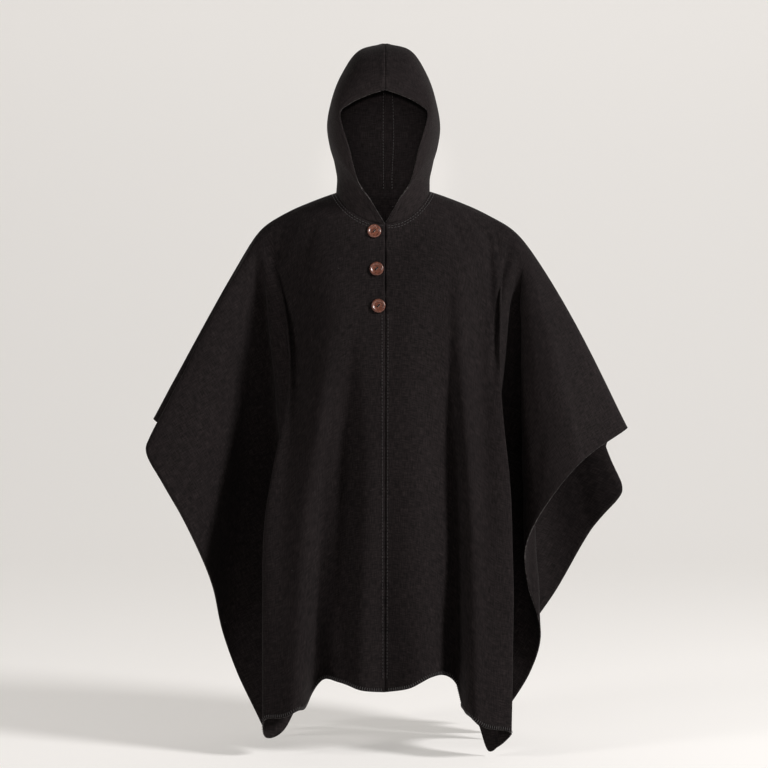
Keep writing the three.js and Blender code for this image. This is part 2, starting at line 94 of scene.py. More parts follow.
# Length of the cloth from the shoulder line to the hem
HEM = table(
    "along right_front left_front right_back left_back",
    [
        (0, 1024, 1024, 1010, 1010),
        (60, 1012, 1008, 1000, 998),
        (110, 985, 974, 984, 980),
        (150, 958, 950, 972, 968),
        (178, 962, 949, 964, 964),
        (195, 970, 974, 959, 961),
        (212, 958, 970, 956, 960),
        (250, 950, 965, 950, 952),
        (290, 948, 960, 946, 948),
        (312, 974, 965, 942, 946),
        (335, 973, 984, 940, 942),
        (360, 952, 990, 936, 939),
        (385, 918, 945, 932, 934),
        (425, 900, 912, 927, 929),
        (500, 888, 896, 918, 920),
        (600, 888, 892, 902, 906),
        (690, 882, 886, 885, 890),
    ],
)

SIDES = {
    "right": {"sign": -1, "neck": 92, "point": 243, "width": 655, "bow": 1.4, "hood": 1, "drawn": 52},
    "left": {"sign": 1, "neck": 84, "point": 258, "width": 685, "bow": 7, "hood": 0.95, "drawn": 24},
}
DRAWN = {"middle": 270, "reach": 190, "from": 75, "to": 86}
CENTRE_TILT = {"front": -3.2, "back": 2.6}

# Below the shoulder point the cloth is a fan: each line of it, turned from the sleeve's line (0) to straight
# down (90), leans out from the vertical and tilts to the back, in degrees
FANS = {
    "right_front": table(
        "turn lean tilt",
        [
            (0, 29, 2),
            (4, 28.6, 0),
            (8, 26.3, -1.5),
            (12, 25.6, -5),
            (17, 25.8, -8),
            (26, 26.4, -12),
            (31, 25.2, -13),
            (37, 19.8, -12),
            (43, 14.2, -8.5),
            (48.5, 10, -3.5),
            (53, 7.4, 1.2),
            (57.7, 5.4, 4),
            (61, 3.2, 5),
            (65, -0.6, 5),
            (69, -3.4, 4.2),
            (74, -5.4, 1.8),
            (79, -5.4, -2.4),
            (83, -3.2, -5),
            (86.5, -0.8, -7.2),
            (90, -3.4, -8.4),
        ],
    ),
    "left_front": table(
        "turn lean tilt",
        [
            (0, 29.5, 2),
            (7, 22.6, -2),
            (15, 16.9, -6),
            (20, 13.9, -8),
            (31, 7.4, -7.5),
            (38.6, 3.2, -5.2),
            (44.2, 1.3, -3.2),
            (50, 1.7, -1.2),
            (55.4, 3.4, 1),
            (59.2, 1.8, 2.8),
            (63.5, -2.6, 3.8),
            (68, -5, 3.4),
            (73, -5.8, 1.2),
            (78, -5.8, -2.2),
            (82, -4.6, -4.8),
            (85, -2.8, -6.4),
            (87, -1.1, -7.6),
            (90, -3.8, -8.6),
        ],
    ),
    "right_back": table(
        "turn lean tilt",
        [
            (0, 29, 2),
            (6, 27.6, 5.5),
            (12, 26.2, 8.4),
            (24, 22.5, 12.5),
            (34, 17, 14),
            (44, 9.5, 12.5),
            (52, 4.5, 9.5),
            (58, 2.2, 7.4),
            (64, -0.6, 5.8),
            (70, -3.2, 5),
            (75, -4.6, 4.8),
            (79, -5, 5.8),
            (83, -3.2, 7.2),
            (87, -0.6, 8.4),
            (90, -2.8, 8.8),
        ],
    ),
    "left_back": table(
        "turn lean tilt",
        [
            (0, 29.5, 2),
            (10, 27.2, 7.2),
            (17, 25, 10.8),
            (23, 23.6, 12),
            (29, 22.9, 9.6),
            (34, 23.3, 7.4),
            (38, 22.9, 6.6),
            (39.6, 21.4, 6.8),
            (42, 18, 7.8),
            (45, 14.6, 9.2),
            (52.8, 7.4, 10.3),
            (58, 1, 7.5),
            (64, -2.4, 4.5),
            (70, -4.8, 3),
            (75, -6.2, 3),
            (79, -6, 5.2),
            (83, -4, 7),
            (87, -1.4, 8.4),
            (90, -3.8, 8.8),
        ],
    ),
}

# Soft folds: where one lies at the shoulder line and at the hem, the stretch it grows over, its depth there
# and at the hem (inward is positive), and its width towards the centre and away from it
FOLD = "top hem from to depth hem_depth inner outer".split()
FOLDS = {
    "right_front": [
        (62, 172, 300, 900, 54, 64, 70, 24),
        (66, 90, 300, 640, 26, 14, 24, 44),
        (218, 222, 16, 240, 14, 0, 34, 30),
        (120, 222, 480, 900, -6, -12, 20, 40),
    ],
    "left_front": [
        (112, 178, 120, 680, 54, 64, 66, 22),
        (214, 222, 16, 260, 14, 0, 34, 30),
        (168, 226, 480, 900, -6, -12, 20, 36),
    ],
    "right_back": [
        (52, 78, 250, 900, 44, 50, 40, 46),
        (132, 176, 150, 900, 48, 54, 34, 34),
        (196, 214, 30, 260, 10, 0, 30, 26),
    ],
    "left_back": [
        (60, 96, 300, 940, 50, 54, 46, 34),
        (146, 180, 140, 900, 44, 48, 32, 38),
        (206, 224, 30, 260, 10, 0, 30, 26),
    ],
}

# Soft creases in the flat cut: from one place to another, depth (ridges are negative) and width
CREASES = {
    "right_front": [
        (118, 70, 196, 210, 2.4, 9),
        (150, 60, 222, 150, -2.0, 10),
        (206, 40, 232, 190, 3.0, 8),
        (238, 14, 232, 420, 9.0, 13),
        (60, 330, 96, 520, 1.6, 16),
        (330, 120, 470, 330, 1.6, 22),
        (420, 150, 560, 420, -1.4, 20),
        (96, 560, 128, 820, -1.8, 14),
        (30, 420, 48, 700, 1.2, 18),
    ],
    "left_front": [
        (108, 66, 172, 168, 2.6, 9),
        (128, 50, 206, 130, -2.2, 9),
        (150, 44, 226, 104, 2.4, 8),
        (214, 30, 244, 150, 3.4, 8),
        (252, 12, 248, 380, 9.0, 12),
        (196, 20, 238, 260, 5.0, 9),
        (320, 90, 440, 300, 1.6, 20),
        (400, 60, 600, 190, -1.6, 22),
        (70, 420, 110, 640, 1.6, 16),
        (120, 620, 146, 860, -1.8, 13),
        (560, 200, 640, 330, 1.8, 16),
    ],
    "right_back": [
        (110, 60, 190, 190, 2.4, 10),
        (160, 44, 226, 140, 2.2, 9),
        (340, 130, 480, 360, 1.8, 20),
        (28, 120, 34, 420, 1.2, 14),
        (90, 420, 110, 760, -1.8, 15),
    ],
    "left_back": [
        (104, 64, 186, 200, 2.4, 10),
        (166, 40, 236, 130, 2.2, 9),
        (350, 120, 500, 340, 1.8, 20),
        (110, 400, 128, 780, -1.8, 15),
        (44, 500, 60, 800, 1.4, 16),
    ],
}

CREASE_FADE = 1.2

# Ribs of a hood half from the neck to the crown: its back, its widest point and its front edge
HOOD_RIBS = table(
    "back_y back_z wide wide_y wide_z front_x front_y front_z",
    [
        (60, 78, 89, 0, 84, 26, -88, 22),
        (86, 122, 103, 2, 126, 49, -92, 56),
        (104, 175, 109, 4, 168, 65, -92, 116),
        (108, 222, 100, 6, 214, 82, -92, 178),
        (103, 258, 82, 8, 262, 66, -97, 197),
        (94, 282, 50, 8, 308, 35, -101, 212),
        (88, 290, 0, 8, 322, 0, -103, 223),
    ],
)

# Buttons: the section's radius and height from the underside's middle round the rim to the dish, and where
# each one sits, away from the centre and up
BUTTON = {
    "thick": 4.6,
    "dish": 1.5,
    "dish_radius": 7.2,
    "spread": 2.6,
    "lift": 0.5,
    "around": 96,
    "dish_rings": 26,
    "heights": 600,
}
BUTTON_SECTION = table(
    "radius height",
    [
        (0, 0),
        (5, 0),
        (8.6, 0),
        (10.6, 0.25),
        (11.9, 0.8),
        (12.6, 1.6),
        (12.8, 2.4),
        (12.5, 3.4),
        (11.9, 4.1),
        (11.2, 4.5),
        (10.4, 4.55),
        (9.6, 4.2),
        (8.7, 3.6),
        (7.8, 3.25),
    ],
)
HOLE = {"radius": 1.5, "share": 0.75, "soft": 0.5, "depth": 2.6, "lip_share": 1.35, "lip": 0.25}
BUTTONS = {"button_top": (20.2, -35.5), "button_middle": (16.5, -105), "button_bottom": (13.2, -173)}
BUTTON_YARN = {"radius": 1.3, "steps": 9, "arch": 0.5, "sunk": 0.15, "around": 10}

# Stitches, in millimetres: the rings of one give its place along, its radius and its height as shares
STITCH = {"length": 4.0, "gap": 2.2, "radius": 0.42, "lift": 0.5, "turn": 0.0}
EDGING = {"length": 6.0, "gap": -1.6, "radius": 0.45, "lift": 0.5, "turn": math.pi / 2}
STITCH_RINGS = table(
    "along radius high",
    [(-0.5, 0.35, -0.5), (-0.3, 1, 0.6), (0.3, 1, 0.6), (0.5, 0.35, -0.5)],
)
STITCH_SIDES = 6

# Where the stitching runs, in millimetres (round the neck in shares of a quarter turn), and its path's steps
NECK_STITCHING = {"away": (5, 10), "from": 0.06, "to": 0.995, "steps": 200}
CENTRE_STITCHING = {"away": 6.0, "below_slit": 10, "below_neck": 12, "to": 1000, "steps": 300}
HEM_EDGING = {"from": 3, "side": 2, "above": 4, "steps": 900}
HOOD_STITCHING = {"column": {"right": 1, "left": 5}, "rows": slice(4, -3)}

# Surface: a seam's ditch between its pressed-open allowances, and the slight unevenness of the cloth, whose
# waves are given as millimetres across and down for each radian
SEAM = {"depth": 1.1, "ditch": 1.6, "rise": 2.5, "height": 0.5, "allowance": 8, "fades": 4, "starts": 12}
UNEVEN = {"broad": 0.7, "first": (31, 83), "second": (-90, 47), "fine": 0.45, "third": (13.7, 60)}
PHASES = {"right_front": 23.0, "left_front": 21.3, "right_back": 20.1, "left_back": 18.4}
SMOOTH_TOP = {"from": 20, "over": 60}
SMOOTH_CENTRE = 40
HOOD_RELIEF = {
    "girth": 330.0,
    "height": 330.0,
    "seam": 1.0,
    "hem": 1.0,
    "hem_wide": 14,
    "hem_soft": 3,
    "hem_ditch": 0.7,
    "hem_ditch_at": 17,
    "hem_ditch_wide": 2,
    "uneven": 1.1,
    "first": (9, 4),
    "second": (-3, 8),
    "phase": {"right": 5, "left": 4},
    "roll": 2.2,
    "roll_at": 0.10,
    "roll_rise": 0.10,
    "roll_wide": 0.05,
    "ends": 0.2,
    "foot": 0.04,
}

# How finely the surfaces are divided
COLUMNS = 180
COLUMN_SHARES = {"torso": 0.36, "fan": 0.78}
COLUMN_STEPS = {"before_point": 4, "fan_top": 24, "fan_hem": 275}
ROWS = {"neck_front": 24, "slit": 26, "front": 110, "neck_back": 16, "back": 106}
NECK_ROWS = {"bend": 1.4, "blend": 0.3}
HOOD_GRID = {"around": 96, "up": 84}

# How far inside the neck edge the hood's foot stands, points that surfaces face away from, where the small
# pieces lie in the flat cut, and the small steps that directions are measured over
HOOD_FOOT = 0.4
MIDDLES = {"panel": (0, 0, -200), "hood": (0, 0, 160), "strip": (0, 1000, 0)}
FLAT_PLACE = {"hood": 900, "strip": 2000}
NUDGE = {"turn": 0.02, "size": 0.98, "front": 4, "across": 2, "down": 3, "least": 0.05}

# Colours
CLOTH_DARK = (0.0045, 0.0036, 0.0036, 1)
CLOTH_LIGHT = (0.024, 0.0185, 0.0185, 1)
# Pale lint, and also the painted sheen that lightens the cut edges
LINT_AND_EDGE_SHEEN = (0.16, 0.15, 0.145, 1)
SHEEN = (0.75, 0.7, 0.7, 1)
BLACK_YARN = (0.035, 0.032, 0.032, 1)
GREY_YARN = (0.075, 0.07, 0.07, 1)
BROWN_YARN = (0.004, 0.0015, 0.001, 1)
SHELL_DARK = (0.03, 0.008, 0.005, 1)
SHELL_LIGHT = (0.19, 0.062, 0.036, 1)
SHELL_FLECK = (0.22, 0.12, 0.08, 1)
BACKDROP_PAINT = (0.54, 0.53, 0.52, 1)
BACKDROP_GLOW = (0.82, 0.79, 0.75, 1)
BACKDROP_STRENGTH = 0.52

# Weave, in repeats a metre of the flat cut: a yarn's width, its slubs' length and the rows of the weave
YARN = {"wide": 620, "slub": 60, "rows": 235.0}

# Room, in metres: floor that sweeps up into a backdrop, lights and camera
FLOOR = {"height": -0.993, "front": -9, "bends_at": 3.4, "bend": 2.2, "steps": 24, "top": 9, "side": 14}
GARMENT_MIDDLE = (0, 0, -0.35)
SOFTBOX_SIZE = 1.2
SOFTBOXES = {
    "right softbox": ((4.1, -2.2, 1.9), 330, (1.0, 0.985, 0.985)),
    "left softbox": ((-4.0, -2.3, 1.6), 70, (1.0, 0.97, 0.96)),
}
SPOT = {
    "place": (0, -3.6, -0.12),
    "target": (0, 0, 0.12),
    "degrees": 3.4,
    "watts": 900,
    "blend": 0.6,
    "soft": 0.12,
}
SPOT_COLOUR = (1.0, 0.98, 0.96)
ROOM_LIGHT = {"colour": (1.0, 0.955, 0.90, 1), "strength": 0.06}
IMAGE = 768
CAMERA = {"distance": 4.2, "height": -0.25, "focal_px": 2234, "middle_px": (385, 348), "sensor": 36}


def lerp(a, b, t):
    return a + (b - a) * t


def smooth(t):
    t = np.clip(t, 0, 1)
    return t * t * (3 - 2 * t)


def rounded(t, soft):
    """Zero below zero and t above it, with the bend between them rounded over a soft width."""
    return soft * np.logaddexp(0, t / soft)


def bell(away):
    return np.exp(-away * away)


def curve(x, v, at):
    """A smooth curve through points: a cubic between neighbours whose slope at each point is that of the line
    between the points on both sides of it. The values may have axes of their own."""
    at = np.clip(np.asarray(at, float), x[0], x[-1])
    wide = (...,) + (None,) * (v.ndim - 1)
    slope = np.empty_like(v)
    slope[1:-1] = (v[2:] - v[:-2]) / (x[2:] - x[:-2])[wide]
    slope[0] = (v[1] - v[0]) / (x[1] - x[0])
    slope[-1] = (v[-1] - v[-2]) / (x[-1] - x[-2])
    i = np.clip(np.searchsorted(x, at, side="right") - 1, 0, len(x) - 2)
    span = (x[i + 1] - x[i])[wide]
    t = (at - x[i])[wide] / span
    start = t * (1 - t) ** 2 * span * slope[i]
    end = t * t * (1 - t) * span * slope[i + 1]
    return lerp(v[i], v[i + 1], t * t * (3 - 2 * t)) + start - end


def read(rows, key, column, at):
    """One column of a table, read along another as a smooth curve."""
    return curve(rows[key], rows[column], at)


def unit(v):
    return v / np.maximum(np.linalg.norm(v, axis=-1, keepdims=True), 1e-9)


# Cloth of a panel


def hang(side, face, across, down):
    """The hung cloth: it first goes level over the shoulder or sleeve, by a length that fades with the way
    down, then hangs as a fan of lines from the shoulder point, each with its own lean and tilt."""
    s = SIDES[side]
    fan = FANS[f"{side}_{face}"]
    full = read(FULLNESS, "along", face, across)
    over = full * (1 - np.exp(-down / full))
    beyond = rounded(across - s["point"], SHOULDER_SOFT)
    along = across - beyond
    inward = 1 - along / s["point"]
    hanging = down - LEVEL_SHARE * over
    reach = np.hypot(beyond, hanging)
    turn = np.degrees(np.arctan2(hanging, beyond))
    fade = np.maximum(1 - reach / (s["width"] - s["point"]), 0) ** BOW_FADE
    bowed = s["bow"] * fade * (1 - turn / 90) ** 2
    folded = smooth(reach / FOLDS_START[face])

    def turned(column):
        plain = lerp(fan[column][0], fan[column][-1], turn / 90)
        return lerp(plain, read(fan, "turn", column, turn), folded)

    lean = np.radians((turned("lean") + bowed) * (1 - inward))
    tilt = np.radians(turned("tilt") + inward * (CENTRE_TILT[face] - fan["tilt"][-1]))
    level = (reach - DRAWN["middle"]) / DRAWN["reach"]
    near = smooth((turn - DRAWN["from"]) / (DRAWN["to"] - DRAWN["from"])) * (along / s["point"]) ** 2
    out = read(SHOULDER, "along", "out", along) + reach * np.sin(lean) * np.cos(tilt)
    out = out - s["drawn"] * bell(level) * near
    y = reach * np.sin(tilt) + (-over if face == "front" else over)
    z = read(SHOULDER, "along", "z", along) - reach * np.cos(lean) * np.cos(tilt)
    return np.stack([s["sign"] * out, y, z], -1)


def fold_depth(quarter, across, down, length):
    """Sum of bell-shaped valleys that run down the cloth and grow on their way."""
    depth = 0
    for row in FOLDS[quarter]:
        fold = dict(zip(FOLD, row))
        middle = lerp(fold["top"], fold["hem"], down / length)
        away = (across - middle) / np.where(across < middle, fold["inner"], fold["outer"])
        grown = fold["depth"] * smooth((down - fold["from"]) / (fold["to"] - fold["from"]))
        low = smooth((down - fold["to"]) / (length - fold["to"]))
        depth = depth + lerp(grown, fold["hem_depth"], low) * bell(away)
    return depth * (1 - bell(across / CENTRE_FLAT))


def slit_gape(across, down):
    """Between the buttons the slit's edge stands a little open."""
    share = (down - NECK["front"]) / (SLIT_END - NECK["front"])
    wave = np.abs(np.sin(share * math.pi * (len(BUTTONS) + 0.5)))
    gape = SLIT_GAPE["most"] * wave * np.exp(-across / SLIT_GAPE["fades"])
    return np.where((share > 0) & (share < 1), gape, 0)


def cloth_point(side, face, across, down):
    """A point of a panel with its soft folds pushed straight in."""
    quarter = f"{side}_{face}"
    across, down = np.broadcast_arrays(np.asarray(across, float), np.asarray(down, float))
    point = hang(side, face, across, down)
    depth = fold_depth(quarter, across, down, read(HEM, "along", quarter, across))
    point[..., 1] += depth if face == "front" else -depth
    if quarter == "left_front":
        point[..., 0] += slit_gape(across, down)
    return point


def crease_relief(quarter, across, down):
    """Each crease is a bell-shaped trough along a line, fading to nothing at both its ends."""
    relief = 0
    for from_across, from_down, to_across, to_down, depth, wide in CREASES[quarter]:
        length = math.hypot(to_across - from_across, to_down - from_down)
        line_across = (to_across - from_across) / length
        line_down = (to_down - from_down) / length
        along = ((across - from_across) * line_across + (down - from_down) * line_down) / length
        aside = ((across - from_across) * line_down - (down - from_down) * line_across) / wide
        fade = np.sin(math.pi * np.clip(along, 0, 1)) ** CREASE_FADE
        relief = relief - depth * fade * bell(aside)
    return relief


def seam_section(away, depth):
    """Across a seam: a ditch at the seam, and the slight rise of the allowance that lies pressed open."""
    allowance = smooth(away / SEAM["rise"]) * (1 - smooth((away - SEAM["allowance"]) / SEAM["fades"]))
    return SEAM["height"] * allowance - depth * bell(away / SEAM["ditch"])


def unevenness(quarter, across, down):
    """Two slow waves that cross each other, and one finer wave."""
    phase = PHASES[quarter]

    def wave(name, start):
        wave_across, wave_down = UNEVEN[name]
        return np.sin(across / wave_across + down / wave_down + start)

    crossed = UNEVEN["broad"] * wave("first", phase) * wave("second", phase)
    return crossed + UNEVEN["fine"] * wave("third", 2 * phase)


def cloth_relief(side, face, across, down):
    """Creases, seam and a slight unevenness of the hung cloth, in millimetres outwards."""
    quarter = f"{side}_{face}"
    uneven = unevenness(quarter, across, down) * smooth(across / SMOOTH_CENTRE)
    fine = crease_relief(quarter, across, down) + uneven
    seam_top = SLIT_END if face == "front" else NECK["back"]
    seam = seam_section(across, SEAM["depth"]) * smooth((down - seam_top) / SEAM["starts"])
    return fine * smooth((down - SMOOTH_TOP["from"]) / SMOOTH_TOP["over"]) + seam


def column_place(side, edge, share, low):
    """Columns run down the torso, and fan out from the shoulder point beyond it."""
    point, width = SIDES[side]["point"], SIDES[side]["width"]
    before = point - COLUMN_STEPS["before_point"]
    shares = [0, COLUMN_SHARES["torso"], COLUMN_SHARES["fan"], 1]
    tops = [edge, before, point + COLUMN_STEPS["fan_top"], width]
    hems = [0, before, point + COLUMN_STEPS["fan_hem"], width]
    place = lerp(edge, 0, low)
    for k in range(3):
        t = np.clip((share - shares[k]) / (shares[k + 1] - shares[k]), 0, 1)
        place = place + lerp(tops[k + 1] - tops[k], hems[k + 1] - hems[k], low) * t
    return place


def face_places(side, face):
    """Places of a panel's rows down one face: round the neck first, then to the hem."""
    deep = NECK[face]
    neck_rows = ROWS[f"neck_{face}"]
    slit = ROWS["slit"] if face == "front" else 0
    i = np.arange(neck_rows + ROWS[face] + 1)[:, None]
    t = np.linspace(0, 1, COLUMNS + 1)[None, :]
    turn = np.minimum(i / neck_rows, 1)
    edge = SIDES[side]["neck"] * np.cos(turn * math.pi / 2)
    rest = np.maximum(i - neck_rows, 0)
    top = lerp(deep, SLIT_END, np.minimum(rest / slit, 1) if slit else 0)
    on = np.maximum(rest - slit, 0) / (ROWS[face] - slit)
    near = deep * np.sin(turn * math.pi / 2)
    far = deep * turn ** NECK_ROWS["bend"]
    low = lerp(np.where(turn < 1, far, top), LONGEST, on) / LONGEST
    across = np.maximum(column_place(side, edge, t, low), SEAM_GAP / 2)
    start = lerp(near, far, smooth(t / NECK_ROWS["blend"]))
    down = lerp(np.where(turn < 1, start, top), read(HEM, "along", f"{side}_{face}", across), on)
    return across, down


# Meshes


def grid_normals(points):
    """Normals of a grid: across each point's own row and column differences."""
    return unit(np.cross(np.gradient(points, axis=0), np.gradient(points, axis=1)))


def outward(points, normals, centre):
    """Turns all normals so that most of them point away from a centre."""
    return normals if np.sum((points - centre) * normals) > 0 else -normals


def new_object(name, vertices, faces, material):
    """A smooth mesh from points in millimetres, on the body that everything here belongs to."""
    mesh = bpy.data.meshes.new(name)
    mesh.from_pydata((np.asarray(vertices) * MM).tolist(), [], np.asarray(faces).tolist())
    mesh.update()
    thing = bpy.data.objects.new(name, mesh)
    bpy.context.scene.collection.objects.link(thing)
    mesh.polygons.foreach_set("use_smooth", np.ones(len(mesh.polygons), bool))
    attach(thing, "root")
    mesh.materials.append(material)
    return thing


def grid_faces(rows, columns, around=False):
    """Quads of a grid of points; around joins the last column to the first."""
    i, j = np.meshgrid(np.arange(rows - 1), np.arange(columns if around else columns - 1), indexing="ij")
    after = (j + 1) % columns
    corners = [i * columns + j, (i + 1) * columns + j, (i + 1) * columns + after, i * columns + after]
    return np.stack(corners, -1).reshape(-1, 4)


def cloth_piece(name, node, grid, thickness=CLOTH):
    """A grid of points as a thick cloth that faces along its normals and stands for a node. Its flat place
    becomes a UV map, and its distance from the cut edge an attribute."""
    points, normals, flat, edge = grid
    faces = grid_faces(*points.shape[:2])
    corner = points.reshape(-1, 3)[faces[:, :3]]
    facing = np.cross(corner[:, 1] - corner[:, 0], corner[:, 2] - corner[:, 0])
    if np.sum(facing * normals.reshape(-1, 3)[faces[:, 0]]) < 0:
        faces = faces[:, ::-1]
    piece = new_object(name, points.reshape(-1, 3), faces, WOVEN)
    layer = piece.data.uv_layers.new(name="cut")
    layer.data.foreach_set("uv", (flat.reshape(-1, 2)[faces.ravel()] * MM).ravel())
    attribute = piece.data.attributes.new("edge", "FLOAT", "POINT")
    attribute.data.foreach_set("value", (edge * MM).ravel())
    wall = piece.modifiers.new("cloth", "SOLIDIFY")
    wall.thickness = thickness * MM
    wall.offset = 0
    wall.use_even_offset = False
    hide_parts(node)
    return piece


def stitches(name, path, normals, material, length, gap, radius, lift, turn):
    """Stitches along a path: each one is a short six-sided spindle that lies on the cloth. The path is walked
    by its length, and every stitch takes its middle, direction and normal from there."""
    walked = np.concatenate([[0], np.cumsum(np.linalg.norm(np.diff(path, axis=0), axis=1))])
    middles = np.arange(length, walked[-1] - length, length + gap)

    def at(values, where):
        return np.stack([np.interp(where, walked, values[:, k]) for k in range(3)], -1)

    centre = at(path, middles)
    out = unit(at(normals, middles))
    along = unit(at(path, middles + length / 3) - at(path, middles - length / 3))
    along = math.cos(turn) * along + math.sin(turn) * unit(np.cross(out, along))
    aside = unit(np.cross(out, along))
    angles = np.arange(STITCH_SIDES) * math.tau / STITCH_SIDES
    ring = {key: value[:, None] for key, value in STITCH_RINGS.items()}
    x = ring["along"] * length * np.ones(STITCH_SIDES)
    y = ring["radius"] * radius * np.cos(angles)
    z = ring["radius"] * radius * np.sin(angles) + ring["high"] * radius + lift
    local = np.stack([x, y, z], -1).reshape(-1, 3)
    axes = np.stack([along, aside, out], 1)
    vertices = centre[:, None, :] + np.einsum("vk,skc->svc", local, axes)
    sides = grid_faces(len(STITCH_RINGS["along"]), STITCH_SIDES, around=True)[:, ::-1]
    cap = np.array([[0, 1, 2, 3], [0, 3, 4, 5]])
    one = np.vstack([sides, cap, cap[:, ::-1] + len(local) - STITCH_SIDES])
    every = (one[None] + (np.arange(len(middles)) * len(local))[:, None, None]).reshape(-1, 4)
    return new_object(name, vertices.reshape(-1, 3), every, material)


# Materials


class Socket:
    """One output of a node. Arithmetic on it adds the Math node that does it."""

    def __init__(self, shader, link):
        self.shader = shader
        self.link = link

    def math(self, operation, first, second):
        return self.shader.node("ShaderNodeMath", {"operation": operation}, {0: first, 1: second})

    def __add__(self, other):
        return self.math("ADD", self, other)

    def __radd__(self, other):
        return self.math("ADD", other, self)

    def __sub__(self, other):
        return self.math("SUBTRACT", self, other)

    def __rsub__(self, other):
        return self.math("SUBTRACT", other, self)

    def __mul__(self, other):
        return self.math("MULTIPLY", self, other)

    def __rmul__(self, other):
        return self.math("MULTIPLY", other, self)


class Shader:
    """A material's node tree, with one method for every node."""

    def __init__(self, name):
        self.material = bpy.data.materials.new(name)
        self.material.use_nodes = True
        self.tree = self.material.node_tree
        self.tree.nodes.clear()

    def node(self, kind, settings, inputs, output=0):
        """Adds a node with its settings and inputs, and gives back one of its outputs."""
        node = self.tree.nodes.new(kind)
        for key, value in settings.items():
            setattr(node, key, value)
        for key, value in inputs.items():
            if isinstance(value, Socket):
                self.tree.links.new(value.link, node.inputs[key])
            else:
                node.inputs[key].default_value = value
        return Socket(self, node.outputs[output]) if node.outputs else None

    def place(self):
        return self.node("ShaderNodeTexCoord", {}, {}, output="Object")

    def mix(self, factor, a, b):
        return self.node("ShaderNodeMix", {"data_type": "RGBA"}, {"Factor": factor, 6: a, 7: b}, output=2)

    def step(self, value, low, high):
        """Rises smoothly from 0 to 1 between two values."""
        inputs = {"Value": value, "From Min": low, "From Max": high}
        return self.node("ShaderNodeMapRange", {"interpolation_type": "SMOOTHSTEP"}, inputs)

    def stretched(self, place, scale):
        return self.node("ShaderNodeMapping", {}, {"Vector": place, "Scale": scale})

    def noise(self, place, scale, detail=2.0, rough=0.5, kind="3D"):
        inputs = {"Vector": place, "Scale": scale, "Detail": detail, "Roughness": rough}
        return self.node("ShaderNodeTexNoise", {"noise_dimensions": kind}, inputs)

    def bump(self, height, strength, distance):
        inputs = {"Strength": strength, "Distance": distance, "Height": height}
        return self.node("ShaderNodeBump", {}, inputs)

    def finish(self, **inputs):
        named = {key.replace("_", " "): value for key, value in inputs.items()}
        shader = self.node("ShaderNodeBsdfPrincipled", {}, named)
        self.node("ShaderNodeOutputMaterial", {}, {"Surface": shader})
        return self.material


def woven_cloth(name):
    """Near-black heavy cloth: plain weave with slubs both ways, a fine nap, a painted sheen that lightens the
    cut edges and pale lint here and there."""
    s = Shader(name)
    cut = s.node("ShaderNodeUVMap", {"uv_map": "cut"}, {})
    place = s.place()
    warp = s.noise(s.stretched(cut, (YARN["wide"], YARN["slub"], 1)), 1.0, 2.0, 0.6, "2D")
    weft = s.noise(s.stretched(cut, (YARN["slub"], YARN["wide"], 1)), 1.0, 2.0, 0.6, "2D")
    rows = {"Vector": cut, "Scale": YARN["rows"]}
    ends = s.node("ShaderNodeTexWave", {"bands_direction": "X"}, rows)
    picks = s.node("ShaderNodeTexWave", {"bands_direction": "Y"}, rows)
    weave = ends * picks
    cloudy = s.noise(place, 9.0, 3.0, 0.6)
    nap = s.noise(place, 900.0, 2.0, 0.7)
    tone = (warp + weft) * 0.95 + cloudy * 0.2 + nap * 0.45 + weave * 0.15 - 0.99
    colour = s.mix(s.step(tone, 0.0, 1.0), CLOTH_DARK, CLOTH_LIGHT)
    speck = s.step(s.node("ShaderNodeTexVoronoi", {}, {"Vector": place, "Scale": 26.0}), 0.04, 0.02)
    chosen = s.step(s.noise(place, 17.0, 0.0), 0.62, 0.66)
    colour = s.mix(speck * chosen * 0.35, colour, LINT_AND_EDGE_SHEEN)
    # Painted sheen: within about a millimetre of the cut edge the colour is lightened in patches towards the
    # pale lint colour
    away = s.node("ShaderNodeAttribute", {"attribute_name": "edge"}, {}, output="Fac")
    painted_edge_sheen = s.step(away, 0.0012, 0.0) * s.step(s.noise(place, 260.0, 2.0, 0.6), 0.35, 0.75)
    colour = s.mix(painted_edge_sheen * 0.5, colour, LINT_AND_EDGE_SHEEN)
    height = (warp + weft) * 0.45 + nap * 0.4 + weave * 0.35
    return s.finish(
        Base_Color=colour,
        Roughness=0.9,
        Normal=s.bump(height, 0.55, 0.0006),
        Specular_IOR_Level=0.08,
        Sheen_Weight=0.035,
        Sheen_Roughness=0.35,
        Sheen_Tint=SHEEN,
    )


def thread(name, colour):
    """Sewing thread: its twist darkens it here and there."""
    s = Shader(name)
    shaded = tuple(c * 0.6 for c in colour[:3]) + (1,)
    shade = s.mix(s.noise(s.place(), 1500.0, 1.0), shaded, colour)
    return s.finish(Base_Color=shade, Roughness=0.7, Sheen_Weight=0.2, Specular_IOR_Level=0.3)


def polished_nutshell(name):
    """Reddish-brown shell: dark growth lines and pale flecks in a polished surface."""
    s = Shader(name)
    place = s.place()
    grain = s.noise(s.stretched(place, (260, 260, 900)), 1.0, 4.0, 0.65)
    fleck = s.noise(place, 1400.0, 2.0, 0.7)
    colour = s.mix(s.step(grain, 0.3, 0.7), SHELL_DARK, SHELL_LIGHT)
    colour = s.mix(s.step(fleck, 0.52, 0.72) * 0.45, colour, SHELL_FLECK)
    return s.finish(
        Base_Color=colour,
        Roughness=0.34,
        Normal=s.bump(grain, 0.25, 0.0003),
        Specular_IOR_Level=0.45,
        Coat_Weight=0.25,
        Coat_Roughness=0.2,
    )


def pale_backdrop(name):
    """Pale matt paint that glows a little, so that the backdrop stays even."""
    s = Shader(name)
    return s.finish(
        Base_Color=BACKDROP_PAINT,
        Roughness=0.9,
        Specular_IOR_Level=0.1,
        Emission_Color=BACKDROP_GLOW,
        Emission_Strength=BACKDROP_STRENGTH,
    )


